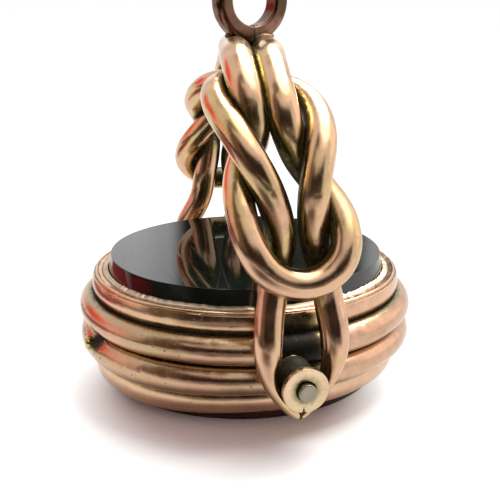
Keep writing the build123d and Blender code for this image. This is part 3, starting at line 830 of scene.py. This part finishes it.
EYE_HEIGHT = 4.0 * MM
EYE_HALF_WIDTH = 2.5 * MM
SEAM_HALF_WIDTH = 0.03 * MM
LINE_STRIDE = 4
OWN_STEPS = 55
ROWS_AT_ONCE = 100

# Route above the eye, in the same shares
KNOT_ROUTE_SHARES = np.array([
    (5.5, -0.220, -0.30), (9.9, -0.182, -0.95), (14.3, -0.142, -1.00), (19.1, -0.110, -0.95),
    (23.7, -0.122, -0.40), (28.0, -0.168, 0.20), (32.2, -0.234, 0.80), (36.5, -0.298, 1.00),
    (41.0, -0.360, 1.00), (46.0, -0.420, 0.80), (52.0, -0.456, 0.20), (59.5, -0.462, -0.45),
    (66.5, -0.425, -0.85), (71.0, -0.345, -1.10), (72.5, -0.245, -1.20), (72.0, -0.140, -1.20),
    (70.5, -0.035, -1.15), (68.0, 0.060, -1.05), (64.0, 0.138, -0.80), (57.5, 0.190, -0.30),
    (50.7, 0.207, 0.20), (44.6, 0.193, 0.75), (39.7, 0.155, 1.00), (35.0, 0.115, 1.00),
    (31.0, 0.088, 0.85), (27.0, 0.084, 0.40), (22.8, 0.106, -0.35), (18.1, 0.152, -0.95),
    (13.5, 0.200, -1.00), (9.0, 0.242, -0.95), (5.5, 0.260, -0.30),
])

# Legs of the eye, down to the seam: share of its height, shares of its half width for the left and the
# right leg, and shares of the wire's radius for the half width and the half depth
LEG_SHARES = np.array([
    (0.60, -0.91, 1.05, 0.96, 0.97), (0.30, -0.90, 1.02, 0.80, 0.92), (0.02, -0.84, 0.90, 0.56, 0.86),
    (-0.27, -0.60, 0.62, 0.45, 0.80), (-0.55, -0.22, 0.22, 0.42, 0.78), (-0.68, 0.06, -0.06, 0.42, 0.78),
])


def leg_rows(across):
    """Control rows of a leg from its shares across: place, outward normal, half depth and half width."""
    place = np.stack([ARCH_REACH + 0 * across, EYE_HALF_WIDTH * across,
                      EYE_HEIGHT * LEG_SHARES[:, 0] + PIVOT_HEIGHT], -1)
    normal = np.tile([1.0, 0, 0], (len(across), 1))
    return np.concatenate([place, normal, LEG_SHARES[:, [4, 3]] * WIRE_RADIUS], 1)


place, normal = on_arch(KNOT_ROUTE_SHARES)
knot_rows = np.concatenate([place, normal, np.full((len(place), 2), WIRE_RADIUS)], 1)
knot_rows = np.concatenate([leg_rows(LEG_SHARES[:, 1])[::-1], knot_rows, leg_rows(LEG_SHARES[:, 2])])
knot_run = smooth_run(knot_rows, PATH_STEP, False)
low = knot_run[:, 2] < PIVOT_HEIGHT
own_side = np.where(np.arange(len(knot_run)) < len(knot_run) // 2, 1, -1)
knot_run = knot_run[~(low & (knot_run[:, 1] * own_side > -SEAM_HALF_WIDTH))]
knot_line = knot_run[:, :3]

wire_gold = worn_metal("wire_gold", (0.69, 0.425, 0.28, 1), (0.55, 0.44, 0.16, 1), drift=0.55, pitting=0.35)


def crevice_of(gap, reach=1.40):
    """Crevice mark from a gap: 1 where pieces touch, falling by a power to 0 at the reach in millimetres."""
    return ramp(gap, reach, -reach) ** 2.3


def shelter_of(grid, normals, own, others, closed):
    """Gap to the nearest other strand, and the share of each point's sky that the strands cover: the sum over
    their stretches of the cosine to the normal times their width and length over pi distances squared.
    A wire's own line leaves out OWN_STEPS of its points each way, which is 6 mm."""
    count = len(own)
    stretch = LINE_STRIDE * PATH_STEP
    lines = np.concatenate([line[::LINE_STRIDE] for line in [own] + others]).astype(np.float32)
    index = np.arange(count)
    gap = np.empty(grid.shape[:2])
    cover = np.empty(grid.shape[:2])
    for start in range(0, count, ROWS_AT_ONCE):
        rows = index[start:start + ROWS_AT_ONCE]
        off = np.abs(rows[:, None] - index[None, ::LINE_STRIDE])
        off = np.minimum(off, count - off) if closed else off
        of_others = np.zeros((len(rows), len(lines) - off.shape[1]), bool)
        skip = np.concatenate([off < OWN_STEPS, of_others], 1)[:, None]
        step = lines[None, None] - grid[rows][:, :, None].astype(np.float32)
        distance = np.where(skip, 1.0, np.sqrt((step**2).sum(-1)))
        gap[rows] = distance.min(2)
        facing = np.einsum("ijkl,ijl->ijk", step, normals[rows].astype(np.float32)) / distance
        near = np.maximum(distance, WIRE_RADIUS)
        share = np.maximum(facing, 0) * 2 * WIRE_RADIUS * stretch / (math.pi * near**2)
        cover[rows] = np.where(skip, 0, share).sum(2)
    return gap - WIRE_RADIUS, cover


def wire_marks(grid, own, others, closed):
    """Crevice mark of a wire: where it meets another strand, and more softly, as painted shade, where strands
    cover its sky.
    """
    gap, cover = shelter_of(grid, outward(grid, (closed, True)), own, others, closed)
    return np.maximum(crevice_of(gap), np.clip((cover - 0.30) / 0.65, 0, 0.80))


thick = WIRE_RADIUS + CROWN_EXTRA * ramp(yoke_line[:, 2] - PIVOT_HEIGHT, 14, 5)
yoke_grid = handled(wire_grid(yoke_line, yoke_run[:, 3:6], thick, thick, True), 71, 150, 0.045 * MM)
marks = wire_marks(yoke_grid, yoke_line, [knot_line, half_turn(leaned(knot_line))], True)
settle(skin("yoke_wire_bent", yoke_grid, crevice=marks), wire_gold, "yoke", "rose_gold", "yoke_wire")


def knot_wire(arm, turn):
    """Tube along the knot's run, its two ends cut square at the seam."""
    line = knot_line if arm == "front" else leaned(knot_line)
    grid = wire_grid(line, knot_run[:, 3:6], knot_run[:, 6], knot_run[:, 7], False)
    grid = handled(grid, 72, 90, 0.045 * MM, OPEN_ENDS)
    grid[0, :, 1] = -SEAM_HALF_WIDTH
    grid[-1, :, 1] = SEAM_HALF_WIDTH
    from_pivot = grid - PIVOT_POINT
    by_bush = norm(from_pivot[..., 1:], axis=-1) - BUSH_RADIUS * MM
    seam = ramp(np.abs(grid[..., 1]), 0.12, -0.12) * (from_pivot[..., 2] < 0)
    # Painted shade: low on the legs, the side that faces the case is darkened
    behind = ramp(grid[..., 0], 13.9, -0.9) * (from_pivot[..., 2] < 4 * MM)
    at_front = ramp(grid[..., 0], 14.4, 0.6)
    yoke_here = yoke_line if arm == "front" else half_turn(yoke_line)
    at_tip = ramp(from_pivot[..., 2], -1.6, -0.6)
    marks = wire_marks(grid, line, [yoke_here], False) * (1 - 0.85 * at_tip)
    crevice = np.max([marks, crevice_of(by_bush, 0.9) * (1 - 0.8 * at_front), seam, behind], 0)
    piece = skin(f"{arm}_knot_wire_bent", grid * turn, OPEN_ENDS, True, crevice=crevice)
    settle(piece, wire_gold, "yoke", "rose_gold", f"{arm}_knot_wire")


both_arms(knot_wire)

# Eye solder
# A little solder bridges each bush and the seam under it, and has gone dull and dark.

solder_metal = worn_metal("dull_solder", (0.44, 0.31, 0.20, 1), (0.22, 0.17, 0.09, 1), drift=0.9, pitting=1.0,
                          relief=0.03 * MM, crevice=0.25)
coat("front_eye_solder", solder_metal)
coat("rear_eye_solder", solder_metal)

# Chain ring
# A closed ring of rose gold for the chain, flat in its bore and rounded outside, its joint at the bottom
# where the solder hides it. Its colour is darkened far below the other gold as a painted dark reflection.

RING_MIDDLE = PIVOT_HEIGHT + 25.13 * MM
RING_TURN = math.radians(16)
RING_STEPS = 260


def ring_surface():
    """Softened section of (across, radius) points swung about the ring's axis, then turned about the
    upright; the joint is a narrow groove at the bottom of the swing."""
    rounding = np.array([0.26, 0.26, 0.58, 0.58])
    outline = softened([(-0.80, 1.88), (0.80, 1.88), (0.80, 3.10), (-0.80, 3.10)], rounding, 12) * MM
    swing = around(RING_STEPS)[:, None] - math.pi / 2
    radius = np.broadcast_to(outline[None, :, 1], (RING_STEPS, len(outline)))
    joint = bell((swing + math.pi / 2 + math.pi) % math.tau - math.pi, 0.0175)
    radius = radius + joint * 0.04 * MM * np.where(outline[:, 1] < 2.5 * MM, 1, -1)
    x = np.broadcast_to(outline[None, :, 0], radius.shape)
    y = radius * np.cos(swing)
    z = radius * np.sin(swing) + RING_MIDDLE
    grid = np.stack([x * math.cos(RING_TURN) - y * math.sin(RING_TURN),
                     x * math.sin(RING_TURN) + y * math.cos(RING_TURN), z], -1)
    return grid, joint


ring, joint = ring_surface()
ring = handled(ring, 81, 50, 0.02 * MM)
foot = ramp(ring[..., 2] - RING_MIDDLE, -1.6, -1.5)
# Painted dark reflection: the ring's colours are darkened far below the other gold
ring_gold_painted_dark = worn_metal("ring_gold_painted_dark", (0.19, 0.10, 0.065, 1), (0.085, 0.050, 0.028, 1), drift=0.8, pitting=0.5)
piece = skin("chain_ring_worn", ring, crevice=np.maximum(foot * 0.8, joint))
settle(piece, ring_gold_painted_dark, "yoke", "rose_gold", "chain_ring")

# Ring solder
# A saddle of solder was run between the ring's foot and the two wires under it. It is dark brown, and
# its middle, in the hollow between the wires, is darkened towards black as painted shade.


def saddle_grid():
    """Lump carried across the arch: its middle dips between the wires, its section is an ellipse that
    narrows to its rounded ends."""
    s = np.linspace(-0.99, 0.99, 61)
    z = PIVOT_HEIGHT + (22.42 + 0.10 * s**2 - 0.30 * bell(s, 0.25)) * MM
    full = np.sqrt(1 - s**2)
    path = np.stack([0 * s, 2.0 * MM * s, z], -1)
    up = np.tile([0, 0, 1.0], (len(s), 1))
    return wire_grid(path, up, 0.50 * MM * full, 0.92 * MM * full, False)


saddle = handled(saddle_grid(), 91, 40, 0.05 * MM, OPEN_ENDS)
# Painted shade: the middle, in the hollow between the wires, is darkened
middle = bell(saddle[..., 1], 0.8 * MM)
saddle_metal = worn_metal("saddle_solder", (0.28, 0.175, 0.105, 1), (0.10, 0.07, 0.04, 1),
                          drift=0.9, pitting=0.8, relief=0.03 * MM)
piece = skin("ring_solder_saddle", saddle, OPEN_ENDS, True, crevice=middle * 0.65 + 0.25)
settle(piece, saddle_metal, "yoke", "solder", "ring_solder")

# Floor
# A plain pale table. It keeps the soft shadow under the case and fades to the white round it. For rays that
# metal and stones send on, it glows with painted reflections: dark patches in front and on the left, a red
# patch on the left, and a dim one near the camera.

FLOOR_SIZE = 600 * MM
# Round patches, in millimetres: middle, radius of the edge, and radius where the patch is whole
CLEAR_OF_SHADOW = (5, -2.5), 7.5, 15.5
DARK_FRONT = (200, 5), 138, 122
DARK_LEFT = (150, -480), 462, 422
RED_REFLECTION = (-28, -50), 29, 22
BY_CAMERA = (40, -18), 27, 9
TABLE_GLOW = (1.2, 1.2, 1.18, 1)
DARK_GLOW = (0.065, 0.047, 0.035, 1)
RED_GLOW = (0.42, 0.085, 0.085, 1)
DIM_GLOW = (0.17, 0.135, 0.11, 1)
corners = [(x * FLOOR_SIZE, y * FLOOR_SIZE, 0) for x, y in ((-1, -1), (1, -1), (1, 1), (-1, 1))]
floor_mesh = bpy.data.meshes.new("floor")
floor_mesh.from_pydata(corners, [], [(0, 1, 2, 3)])
floor = placed("floor", floor_mesh)


def bare_tree(owner):
    """Emptied node tree of a material or a world."""
    owner.use_nodes = True
    owner.node_tree.nodes.clear()
    return owner.node_tree


def ray_kinds(tree):
    """Whether a ray comes from the camera, and whether metal or a stone sends it on."""
    kinds = add(tree, "LightPath").outputs
    return kinds["Is Camera Ray"], larger(tree, kinds["Is Glossy Ray"], kinds["Is Transmission Ray"])


def disc(tree, middle, edge, whole):
    """Mask of a round patch of the floor: a smooth step of the distance from its middle."""
    here = add(tree, "TexCoord").outputs["Object"]
    return rise(tree, distance_to(tree, here, (middle[0] * MM, middle[1] * MM, 0)), edge * MM, whole * MM)


table = bpy.data.materials.new("pale_table")
tree = bare_tree(table)
from_camera, mirrored = ray_kinds(tree)
lit = add(tree, "BsdfDiffuse", {"Color": (0.93, 0.93, 0.93, 1)}).outputs[0]
brighter = tint(tree, from_camera, (0, 0, 0, 1), (0.50, 0.50, 0.50, 1))
lit = add(tree, "AddShader", {0: lit, 1: add(tree, "BsdfDiffuse", {"Color": brighter}).outputs[0]}).outputs[0]
glows = times(tree, larger(tree, from_camera, mirrored), disc(tree, *CLEAR_OF_SHADOW))
colour = TABLE_GLOW
# Painted reflections: the patches below glow only for rays that metal and stones send on
dark = larger(tree, disc(tree, *DARK_FRONT), disc(tree, *DARK_LEFT))
for mask, patch_colour in ((dark, DARK_GLOW), (disc(tree, *RED_REFLECTION), RED_GLOW),
                           (disc(tree, *BY_CAMERA), DIM_GLOW)):
    mask = times(tree, mask, mirrored)
    colour = tint(tree, mask, colour, patch_colour)
    glows = larger(tree, glows, mask)
glow = add(tree, "Emission", {"Color": colour, "Strength": 1.0}).outputs[0]
add(tree, "OutputMaterial", {"Surface": add(tree, "MixShader", {0: glows, 1: lit, 2: glow}).outputs[0]})
floor_mesh.materials.append(table)

# Room and lamps
# A white room with a bright window on the right and two narrow ones at the back. It is dark behind the
# camera, which draws the dark bands in the metal, and red low on the left. One broad lamp hangs above.

# Patches of the room: azimuth of the middle and half width, lowest and highest elevation, softness sideways
# and upright, all in degrees, and colour
ROOM_PATCHES = [
    (-168, 42, 52, 76, 15, 14, (0.72, 0.62, 0.50, 1)),
    (92, 30, 2, 62, 14, 12, (1.6, 1.5, 1.42, 1)),
    (179, 9, 6, 30, 3, 3, (1.35, 1.35, 1.35, 1)),
    (147, 9, 6, 30, 3, 3, (1.35, 1.35, 1.35, 1)),
    (163, 7.5, 6, 30, 1.5, 3, (0.045, 0.038, 0.033, 1)),
    (-112, 30, -89, 36, 10, 8, (1.15, 0.74, 0.70, 1)),
    (-136, 20, 2, 27, 8, 6, (1.15, 0.17, 0.14, 1)),
    (-58, 31, -89, 76, 13, 10, (0.20, 0.14, 0.10, 1)),
    (-35, 28, 39, 57, 10, 6, (1.0, 0.95, 0.90, 1)),
    (-9, 49, -89, 38, 13, 9, (0.036, 0.026, 0.020, 1)),
]
WHITE = (1, 1, 1, 1)
SOFT_LIGHT = (0.37, 0.28, 0.28, 1)

# Bright ceiling: direction, colour, and cosines of the angles off it at its edge and where it is whole
OVERHEAD = (0.08, 0.32, 0.944)
OVERHEAD_GLOW = (3.4, 3.2, 3.0, 1)
OVERHEAD_EDGE = math.cos(math.radians(33))
OVERHEAD_WHOLE = math.cos(math.radians(13))
world = bpy.data.worlds.new("room")
bpy.context.scene.world = world
tree = bare_tree(world)
facing = add(tree, "TexCoord").outputs["Generated"]


def part_along(tree, facing, axis):
    """Length of the direction faced along an axis: their dot product."""
    return add(tree, "VectorMath", {0: facing, 1: axis}, operation="DOT_PRODUCT").outputs["Value"]


room = WHITE
climb = sum_of(tree, "ARCSINE", apart(tree, facing, 2), 0)
for azimuth, half_width, low, high, aside_soft, soft, colour in ROOM_PATCHES:
    cosine, sine = math.cos(math.radians(azimuth)), math.sin(math.radians(azimuth))
    aside, ahead = (part_along(tree, facing, axis) for axis in ((-sine, cosine, 0), (cosine, sine, 0)))
    off = sum_of(tree, "ABSOLUTE", sum_of(tree, "ARCTAN2", aside, ahead), 0)
    inside = rise(tree, off, math.radians(half_width), math.radians(half_width - aside_soft))
    above = rise(tree, climb, math.radians(low), math.radians(low + soft / 2))
    under = rise(tree, climb, math.radians(high), math.radians(high - soft))
    room = tint(tree, times(tree, inside, times(tree, above, under)), room, colour)
overhead = rise(tree, part_along(tree, facing, OVERHEAD), OVERHEAD_EDGE, OVERHEAD_WHOLE)
room = tint(tree, overhead, room, OVERHEAD_GLOW)
from_camera, mirrored = ray_kinds(tree)
shown = tint(tree, from_camera, tint(tree, mirrored, SOFT_LIGHT, room), WHITE)
background = add(tree, "Background", {"Color": shown, "Strength": 1.0}).outputs[0]
add(tree, "OutputWorld", {"Surface": background})

LAMP_PLACE = (-0.055, 0.055, 0.145)
lamp = bpy.data.lights.new("broad_lamp", "AREA")
lamp.shape = "DISK"
lamp.size = 0.12
lamp.energy = 0.36
lamp.color = (1.0, 0.985, 0.96)
lamp_object = placed("broad_lamp", lamp)
lamp_object.location = LAMP_PLACE
lamp_object.rotation_euler = Vector(LAMP_PLACE).to_track_quat("Z", "Y").to_euler()

# Camera
# Where the photograph was taken from: in front of the front arm and a little above the stone.

CAMERA_PLACE = (0.0635233, -0.0173021, 0.0314533)
CAMERA_RIGHT = (0.26255629, 0.96480641, 0.01458732)
CAMERA_UP = (-0.29837891, 0.06680363, 0.95210677)
CAMERA_BACK = (0.91762423, -0.25433417, 0.3054176)
camera_data = bpy.data.cameras.new("camera")
camera_data.sensor_width = 36
camera_data.lens = 59.28
camera_data.clip_start = 0.005
camera_data.clip_end = 5
camera = placed("camera", camera_data)
camera.matrix_world = Matrix([
    (CAMERA_RIGHT[k], CAMERA_UP[k], CAMERA_BACK[k], CAMERA_PLACE[k]) for k in range(3)
] + [(0, 0, 0, 1)])
bpy.context.scene.camera = camera
bpy.context.scene.view_settings.view_transform = "Standard"
